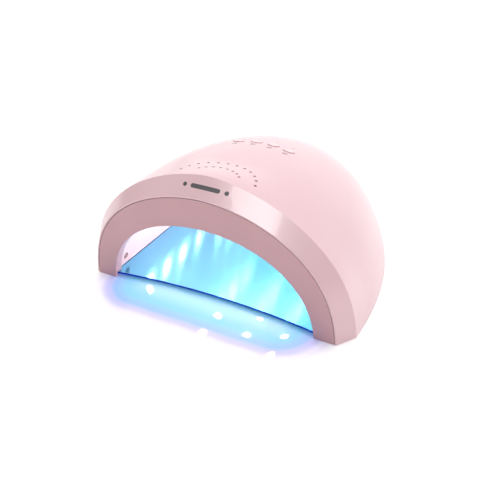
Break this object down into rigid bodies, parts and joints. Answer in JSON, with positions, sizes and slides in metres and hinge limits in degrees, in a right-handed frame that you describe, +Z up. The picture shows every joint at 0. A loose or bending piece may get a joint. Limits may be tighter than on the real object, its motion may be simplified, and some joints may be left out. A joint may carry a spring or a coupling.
{
  "type": "uv led nail lamp",
  "caption": "Dome-shaped lamp that cures nail gel under blue-violet LEDs: arched hand opening, time buttons on top, mirror base plate held by magnets.",
  "frame": {"origin": "on the surface the lamp stands on, under the middle of the lamp's bounding box", "axes": "+Z up, +Y from the hand opening to the rounded rear end, +X to the right seen from the opening"},
  "size_m": [0.2076, 0.211, 0.0983],
  "materials": {
    "button_pink": "glossy",
    "capacitor_sleeve": "dark sleeve",
    "chip_black": "matte black epoxy",
    "circuit_board": "green solder mask",
    "coil_copper": "enamelled wire",
    "filter_mesh": "fine dark mesh",
    "foot_rubber": "matte",
    "indicator_led": "white package",
    "infrared_clear": "clear",
    "infrared_dark": "dark tinted epoxy",
    "jack_black": "satin",
    "led_board_aluminium": "white solder mask on aluminium",
    "led_ceramic": "white ceramic",
    "led_lens": "clear, lit blue-violet",
    "liner_white": "satin, pinkish white",
    "magnet_nickel": "nickel plated",
    "mark_grey": "grey",
    "mirror_plate": "mirror polished steel",
    "pin_brass": "plated",
    "pink_bezel": "satin, dusty pink",
    "pink_shell": "glossy, pale pink",
    "pipe_clear": "frosted clear",
    "plunger_black": "matte",
    "screw_steel": "zinc plated",
    "socket_white": "natural nylon",
    "switch_black": "matte"
  },
  "bodies": {
    "lamp": {"board_screws": "screw_steel", "bottom_frame": "liner_white", "capacitors": "capacitor_sleeve", "driver_chips": "chip_black", "dust_filter": "filter_mesh", "front_bezel": "pink_bezel", "indicator_leds": "indicator_led", "indicator_pipes": "pipe_clear", "infrared_emitter": "infrared_clear", "infrared_receiver": "infrared_dark", "jack_board": "circuit_board", "jack_pin": "pin_brass", "led_board_left": "led_board_aluminium", "led_board_rear": "led_board_aluminium", "led_board_rear_left": "led_board_aluminium", "led_board_rear_right": "led_board_aluminium", "led_board_right": "led_board_aluminium", "led_board_top": "led_board_aluminium", "led_board_upper_left": "led_board_aluminium", "led_board_upper_right": "led_board_aluminium", "led_lenses_left": "led_lens", "led_lenses_rear": "led_lens", "led_lenses_rear_left": "led_lens", "led_lenses_rear_right": "led_lens", "led_lenses_right": "led_lens", "led_lenses_top": "led_lens", "led_lenses_upper_left": "led_lens", "led_lenses_upper_right": "led_lens", "led_packages_left": "led_ceramic", "led_packages_rear": "led_ceramic", "led_packages_rear_left": "led_ceramic", "led_packages_rear_right": "led_ceramic", "led_packages_right": "led_ceramic", "led_packages_top": "led_ceramic", "led_packages_upper_left": "led_ceramic", "led_packages_upper_right": "led_ceramic", "magnets": "magnet_nickel", "main_board": "circuit_board", "mark_inlay": "mark_grey", "outer_shell": "pink_shell", "power_coil": "coil_copper", "power_jack": "jack_black", "reflector_liner": "liner_white", "rubber_feet": "foot_rubber", "sensor_board_left": "circuit_board", "sensor_board_right": "circuit_board", "shell_screws": "screw_steel", "switch_board": "circuit_board", "tact_switches": "switch_black", "wire_sockets": "socket_white"},
    "base_plate": {"base_plate": "mirror_plate"},
    "button_1": {"button_cap_1": "button_pink", "switch_plunger_1": "plunger_black"},
    "button_2": {"button_cap_2": "button_pink", "switch_plunger_2": "plunger_black"},
    "button_3": {"button_cap_3": "button_pink", "switch_plunger_3": "plunger_black"},
    "button_4": {"button_cap_4": "button_pink", "switch_plunger_4": "plunger_black"}
  },
  "joints": [
    {"name": "button_1_press", "type": "slide", "parent": "lamp", "child": "button_1", "axis": [0, 0, -1], "range_m": [0, 0.0005], "stiffness_N_per_m": 3000, "springref_m": -0.0003},
    {"name": "button_2_press", "type": "slide", "parent": "lamp", "child": "button_2", "axis": [0, 0, -1], "range_m": [0, 0.0005], "stiffness_N_per_m": 3000, "springref_m": -0.0003},
    {"name": "button_3_press", "type": "slide", "parent": "lamp", "child": "button_3", "axis": [0, 0, -1], "range_m": [0, 0.0005], "stiffness_N_per_m": 3000, "springref_m": -0.0003},
    {"name": "button_4_press", "type": "slide", "parent": "lamp", "child": "button_4", "axis": [0, 0, -1], "range_m": [0, 0.0005], "stiffness_N_per_m": 3000, "springref_m": -0.0003},
    {"name": "base_plate_release", "type": "slide", "parent": "lamp", "child": "base_plate", "axis": [0, 0, -1], "range_m": [0, 0.06]}
  ]
}
